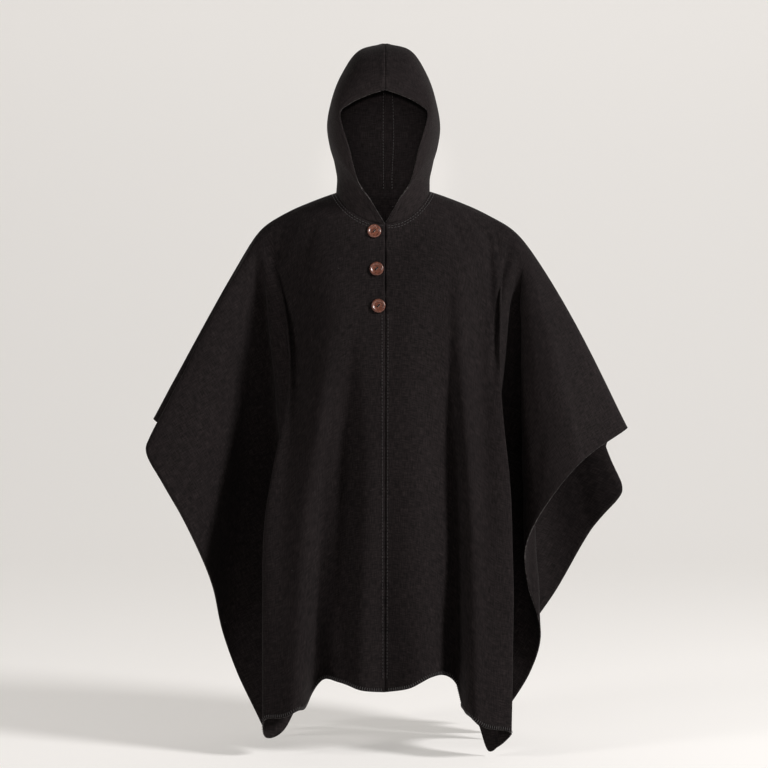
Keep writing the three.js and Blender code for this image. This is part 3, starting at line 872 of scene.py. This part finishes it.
WOVEN = woven_cloth("black woven cloth")
BLACK_THREAD = thread("black sewing thread", BLACK_YARN)
GREY_THREAD = thread("greyed edging thread", GREY_YARN)
BUTTON_THREAD = thread("brown button thread", BROWN_YARN)
NUTSHELL = polished_nutshell("polished nutshell")


# The two panels


def panel_grid(side):
    """A panel's rows from the front hem up over the shoulder and down to the back hem: points with their
    relief, normals, flat places and distance from the nearest cut edge."""
    parts = []
    for face in ("front", "back"):
        across, down = face_places(side, face)
        points = cloth_point(side, face, across, down)
        relief = cloth_relief(side, face, across, down)
        to_hem = read(HEM, "along", f"{side}_{face}", across) - down
        edge = np.minimum(to_hem, SIDES[side]["width"] - across)
        flat = np.stack([across, down if face == "front" else -down], -1)
        parts.append([points, relief, flat, edge])
    front = [part[::-1] for part in parts[0]]
    back = [part[1:] for part in parts[1]]
    points, relief, flat, edge = (np.concatenate(pair) for pair in zip(front, back))
    normals = outward(points, grid_normals(points), MIDDLES["panel"])
    return points + normals * relief[..., None], normals, flat, edge


# The hood


def neck_corner(side, face, turn, gap):
    """Where the hood's foot meets the neck edge: in the cloth's own surface, a gap inside the neck hole."""

    def place(angle, size):
        across = np.maximum(SIDES[side]["neck"] * np.cos(angle) * size, SEAM_GAP / 2)
        return cloth_point(side, face, across, NECK[face] * np.sin(angle) * size)

    angle = turn * math.pi / 2
    edge = place(angle, 1)
    along = unit(place(angle + NUDGE["turn"], 1) - place(angle - NUDGE["turn"], 1))
    inward = place(angle, NUDGE["size"]) - edge
    inward = unit(inward - along * np.sum(inward * along, -1, keepdims=True))
    return edge + inward * gap


def rib_surface(around):
    """Each rib turns a quarter from the back seam to its widest point, then one to the front edge."""
    turn = around * math.pi
    on = turn - math.pi / 2
    r = {key: value[:, None] for key, value in HOOD_RIBS.items()}
    back = [
        r["wide"] * np.sin(turn),
        lerp(r["wide_y"], r["back_y"], np.cos(turn)),
        lerp(r["back_z"], r["wide_z"], np.sin(turn)),
    ]
    front = [
        lerp(r["front_x"], r["wide"], np.cos(on)),
        lerp(r["wide_y"], r["front_y"], np.sin(on)),
        lerp(r["front_z"], r["wide_z"], np.cos(on)),
    ]
    return np.where((around <= 0.5)[:, None], np.stack(back, -1), np.stack(front, -1))


def hood_relief(side, around, up):
    """Crown seam, turned hem of the face opening, slight unevenness and a soft roll above the neck."""
    r = HOOD_RELIEF
    seam = np.minimum(around * r["girth"], (1 - up) * r["height"])
    from_hem = (1 - around) * r["girth"]
    hem = r["hem"] * (1 - smooth((from_hem - r["hem_wide"]) / r["hem_soft"]))
    ditch = r["hem_ditch"] * bell((from_hem - r["hem_ditch_at"]) / r["hem_ditch_wide"])
    ends = r["ends"]
    first = np.sin(around * r["first"][0] + up * r["first"][1] + r["phase"][side])
    second = np.sin(around * r["second"][0] + up * r["second"][1])
    wave = first * second * smooth(up / ends)
    roll = bell((up - r["roll_at"] - r["roll_rise"] * around) / r["roll_wide"])
    roll = roll * smooth(around / ends) * (1 - smooth((around - (1 - ends)) / ends))
    relief = seam_section(seam, r["seam"]) + hem - ditch + r["uneven"] * wave + r["roll"] * roll
    return relief * smooth(up / r["foot"])


def hood_grid(side):
    """A hood half: from its foot on the neck edge, up through the ribs to the crown seam."""
    s = SIDES[side]
    around = np.linspace(0, 1, HOOD_GRID["around"] + 1)
    up = np.linspace(0, 1, HOOD_GRID["up"] + 1)
    turn = np.abs(around - 0.5) * 2
    back = neck_corner(side, "back", turn, HOOD_FOOT)
    front = neck_corner(side, "front", turn, HOOD_FOOT)
    foot = np.where((around > 0.5)[:, None], front, back)
    foot[:, 0] *= s["sign"] / s["hood"]
    levels = np.linspace(0, 1, len(HOOD_RIBS["wide"]) + 1)
    points = curve(levels, np.concatenate([foot[None], rib_surface(around)]), up)
    points[..., 0] = np.maximum(points[..., 0] * s["hood"], SEAM_GAP / 2) * s["sign"]
    normals = outward(points, grid_normals(points), MIDDLES["hood"])
    a, u = np.meshgrid(around, up)
    points = points + normals * hood_relief(side, a, u)[..., None]
    flat = np.stack([a * HOOD_RELIEF["girth"] + FLAT_PLACE["hood"], u * HOOD_RELIEF["height"]], -1)
    return points, normals, flat, (1 - a) * HOOD_RELIEF["girth"]


# Strip behind the slit, and the buttons


def front_point(offset, down):
    """Points at the centre front, this far to the left (negative: right)."""
    offset = np.asarray(offset, float)
    right = cloth_point("right", "front", np.abs(offset), down)
    left = cloth_point("left", "front", np.abs(offset), down)
    return np.where((offset < 0)[..., None], right, left)


def front_outward(offset, down):
    """Which way the cloth faces at the centre front."""
    step = NUDGE["front"]
    up = front_point(offset, down - step) - front_point(offset, down + step)
    aside = front_point(offset + step, down) - front_point(offset - step, down)
    return unit(np.cross(aside, up))


def strip_grid():
    """A narrow strip that follows the panels just behind the slit."""
    downs = np.linspace(NECK["front"] + STRIP["above"], SLIT_END + STRIP["below"], STRIP["rows"])
    offsets = np.linspace(STRIP["right"], STRIP["left"], STRIP["columns"])
    points = front_point(offsets[None], downs[:, None]) - STRIP["behind"] * front_outward(0, downs[:, None])
    normals = outward(points, grid_normals(points), MIDDLES["strip"])
    flat = np.stack(np.meshgrid(offsets + FLAT_PLACE["strip"], downs), -1)
    return points, normals, flat, np.full(points.shape[:2], STRIP["edge"])


def button_axes(across, z):
    """A button's middle on the cloth, at this height, with its directions to the right, up and out."""
    downs = np.linspace(NECK["front"], SLIT_END, BUTTON["heights"])
    heights = cloth_point("right", "front", across, downs)[:, 2]
    down = float(np.interp(-z, -heights, downs))
    out = front_outward(-across, down)
    right = unit(np.cross(np.array([0, 0, 1.0]), out))
    return front_point(-across, down) + out * (CLOTH / 2 + BUTTON["lift"]), right, np.cross(out, right), out


def hole_places():
    """The two holes lie on a diagonal, as far to the right as up."""
    place = BUTTON["spread"] * math.sqrt(0.5)
    return -place, place


def build_button(name, centre, right, up, out):
    """A turned button: its section is carried round the axis, and two round holes are sunk into the dish."""
    dish = np.linspace(BUTTON["dish_radius"], 0, BUTTON["dish_rings"])
    floor = BUTTON["thick"] - BUTTON["dish"]
    radii = np.concatenate([BUTTON_SECTION["radius"], dish])[:, None]
    heights = np.concatenate([BUTTON_SECTION["height"], np.full(len(dish), floor)])[:, None]
    around = np.linspace(0, math.tau, BUTTON["around"], endpoint=False)
    x = radii * np.cos(around)
    y = radii * np.sin(around)
    h = heights * np.ones(len(around))
    inside = np.arange(len(radii))[:, None] >= len(BUTTON_SECTION["radius"]) - 1
    for place in hole_places():
        away = np.hypot(x - place, y - place)
        sunk = 1 - smooth((away - HOLE["radius"] * HOLE["share"]) / HOLE["soft"])
        lip = bell((away - HOLE["radius"] * HOLE["lip_share"]) / HOLE["soft"])
        h = h + np.where(inside, HOLE["lip"] * lip - HOLE["depth"] * sunk, 0)
    points = centre + x[..., None] * right + y[..., None] * up + h[..., None] * out
    faces = grid_faces(len(radii), len(around), around=True)[:, ::-1]
    piece = new_object(f"{name}_shell", points.reshape(-1, 3), faces, NUTSHELL)
    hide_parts(name)


def build_button_thread(name, centre, right, up, out):
    """A round thread that is carried in a low arch from hole to hole."""
    floor = BUTTON["thick"] - BUTTON["dish"]
    ends = [centre + place * (right + up) + floor * out for place in hole_places()]
    steps = BUTTON_YARN["steps"]
    arch = BUTTON_YARN["arch"] * np.sin(np.linspace(0, math.pi, steps))[:, None]
    path = np.linspace(*ends, steps) + out * (arch - BUTTON_YARN["sunk"])
    along = unit(np.gradient(path, axis=0))
    aside = unit(np.cross(along, out))
    lift = np.cross(aside, along)
    around = np.linspace(0, math.tau, BUTTON_YARN["around"], endpoint=False)
    ring = np.cos(around)[None, :, None] * aside[:, None] + np.sin(around)[None, :, None] * lift[:, None]
    points = path[:, None] + BUTTON_YARN["radius"] * ring
    faces = grid_faces(steps, len(around), around=True)
    new_object(f"{name}_thread", points.reshape(-1, 3), faces, BUTTON_THREAD)


# Sewing


def surface_path(side, face, across, down):
    """A line on a panel and its normals, from places in the flat cut."""
    step_across, step_down = NUDGE["across"], NUDGE["down"]
    point = cloth_point(side, face, np.maximum(across, NUDGE["least"]), down)
    nearer = cloth_point(side, face, np.maximum(across - step_across, NUDGE["least"]), down)
    further = cloth_point(side, face, across + step_across, down)
    lower = cloth_point(side, face, across, down + step_down)
    higher = cloth_point(side, face, across, down - step_down)
    normals = unit(np.cross(further - nearer, lower - higher))
    if np.sum(normals[:, 1] * (-1 if face == "front" else 1)) < 0:
        normals = -normals
    return point + normals * cloth_relief(side, face, across, down)[:, None], normals


def panel_stitches(side, name, face, across, down, material=BLACK_THREAD, how=STITCH):
    path, normals = surface_path(side, face, across, down)
    return stitches(name, path + normals * CLOTH / 2, normals, material, **how)


def sew_quarter(side, face):
    """Two rows round the neck, one beside the centre seam and the edging of the hem."""
    quarter = f"{side}_{face}"
    sewn = []
    row = NECK_STITCHING
    turn = np.linspace(row["from"], row["to"], row["steps"]) * math.pi / 2
    for number, away in enumerate(row["away"], 1):
        across = (SIDES[side]["neck"] + away) * np.cos(turn)
        down = (NECK[face] + away) * np.sin(turn)
        sewn.append(panel_stitches(side, f"neck_stitching_{quarter}_{number}", face, across, down))
    row = CENTRE_STITCHING
    top = SLIT_END + row["below_slit"] if face == "front" else NECK[face] + row["below_neck"]
    down = np.linspace(top, row["to"], row["steps"])
    across = np.full(row["steps"], row["away"])
    sewn.append(panel_stitches(side, f"centre_stitching_{quarter}", face, across, down))
    row = HEM_EDGING
    across = np.linspace(row["from"], SIDES[side]["width"] - row["side"], row["steps"])
    down = read(HEM, "along", quarter, across) - row["above"]
    sewn.append(panel_stitches(side, f"hem_edging_{quarter}", face, across, down, GREY_THREAD, EDGING))
    return sewn


def sew_hood(side, grid):
    """One row inside the hood beside the seam at its back."""
    points, normals, _, _ = grid
    row = HOOD_STITCHING["rows"], HOOD_STITCHING["column"][side]
    inner = -normals[row]
    path = points[row] + inner * CLOTH / 2
    return stitches(f"hood_seam_stitching_{side}", path, inner, BLACK_THREAD, **STITCH)


# Everything together

panel_pieces = {side: cloth_piece(f"panel_{side}_cloth", f"panel_{side}", panel_grid(side)) for side in SIDES}
hood_grids = {side: hood_grid(side) for side in SIDES}
hood_pieces = {side: cloth_piece(f"hood_{side}_cloth", f"hood_{side}", hood_grids[side]) for side in SIDES}
strip = cloth_piece("button_strip_cloth", "button_stand", strip_grid(), STRIP["cloth"])

for name, (across, z) in BUTTONS.items():
    axes = button_axes(across, z)
    build_button(name, *axes)
    build_button_thread(name, *axes)

sewing = {side: sew_quarter(side, "front") + sew_quarter(side, "back") for side in SIDES}
hood_sewing = {side: [sew_hood(side, hood_grids[side])] for side in SIDES}


# Room, lights and camera


def build_floor():
    """A floor that turns up in a quarter circle into the backdrop."""
    turn = np.linspace(0, math.pi / 2, FLOOR["steps"])
    y = FLOOR["bends_at"] + FLOOR["bend"] * np.sin(turn)
    z = FLOOR["height"] + FLOOR["bend"] * (1 - np.cos(turn))
    y = np.concatenate([[FLOOR["front"]], y, y[-1:]])[:, None]
    z = np.concatenate([z[:1], z, [FLOOR["top"]]])[:, None]
    x = np.linspace(-FLOOR["side"], FLOOR["side"], 3)
    points = np.stack(np.broadcast_arrays(x, y, z), -1)
    mesh = bpy.data.meshes.new("floor")
    mesh.from_pydata(points.reshape(-1, 3).tolist(), [], grid_faces(len(y), len(x))[:, ::-1].tolist())
    mesh.polygons.foreach_set("use_smooth", np.ones(len(mesh.polygons), bool))
    mesh.materials.append(pale_backdrop("pale backdrop"))
    floor = bpy.data.objects.new("floor", mesh)
    bpy.context.scene.collection.objects.link(floor)


def hang_light(light, place, target, watts, colour):
    """Hangs a light at a place and turns it to its target."""
    light.energy = watts
    light.color = colour
    lamp = bpy.data.objects.new(light.name, light)
    lamp.location = place
    across, ahead, up = (float(t - p) for t, p in zip(target, place))
    yaw = math.atan2(ahead, across) - math.pi / 2
    pitch = math.atan2(up, math.hypot(across, ahead)) + math.pi / 2
    lamp.rotation_euler = (pitch, 0, yaw)
    bpy.context.scene.collection.objects.link(lamp)


def build_lights():
    """Two softboxes from the sides, a narrow light into the hood and a little light from the room."""
    for name, (place, watts, colour) in SOFTBOXES.items():
        softbox = bpy.data.lights.new(name, "AREA")
        softbox.shape = "DISK"
        softbox.size = SOFTBOX_SIZE
        hang_light(softbox, place, GARMENT_MIDDLE, watts, colour)
    spot = bpy.data.lights.new("light into the hood", "SPOT")
    spot.spot_size = math.radians(SPOT["degrees"])
    spot.spot_blend = SPOT["blend"]
    spot.shadow_soft_size = SPOT["soft"]
    hang_light(spot, SPOT["place"], SPOT["target"], SPOT["watts"], SPOT_COLOUR)
    world = bpy.data.worlds.new("soft room")
    world.use_nodes = True
    background = world.node_tree.nodes["Background"].inputs
    background["Color"].default_value = ROOM_LIGHT["colour"]
    background["Strength"].default_value = ROOM_LIGHT["strength"]
    bpy.context.scene.world = world
    bpy.context.scene.view_settings.view_transform = "Standard"


def build_camera():
    """Level, straight ahead, with the photograph's framing."""
    camera = bpy.data.cameras.new("camera")
    camera.sensor_width = CAMERA["sensor"]
    camera.lens = CAMERA["focal_px"] * CAMERA["sensor"] / IMAGE
    camera.shift_x = (IMAGE / 2 - CAMERA["middle_px"][0]) / IMAGE
    camera.shift_y = (CAMERA["middle_px"][1] - IMAGE / 2) / IMAGE
    eye = bpy.data.objects.new("camera", camera)
    eye.location = (0, -CAMERA["distance"], CAMERA["height"])
    eye.rotation_euler = (math.pi / 2, 0, 0)
    bpy.context.scene.collection.objects.link(eye)
    bpy.context.scene.camera = eye


build_floor()
build_lights()
build_camera()

bpy.context.view_layer.update()
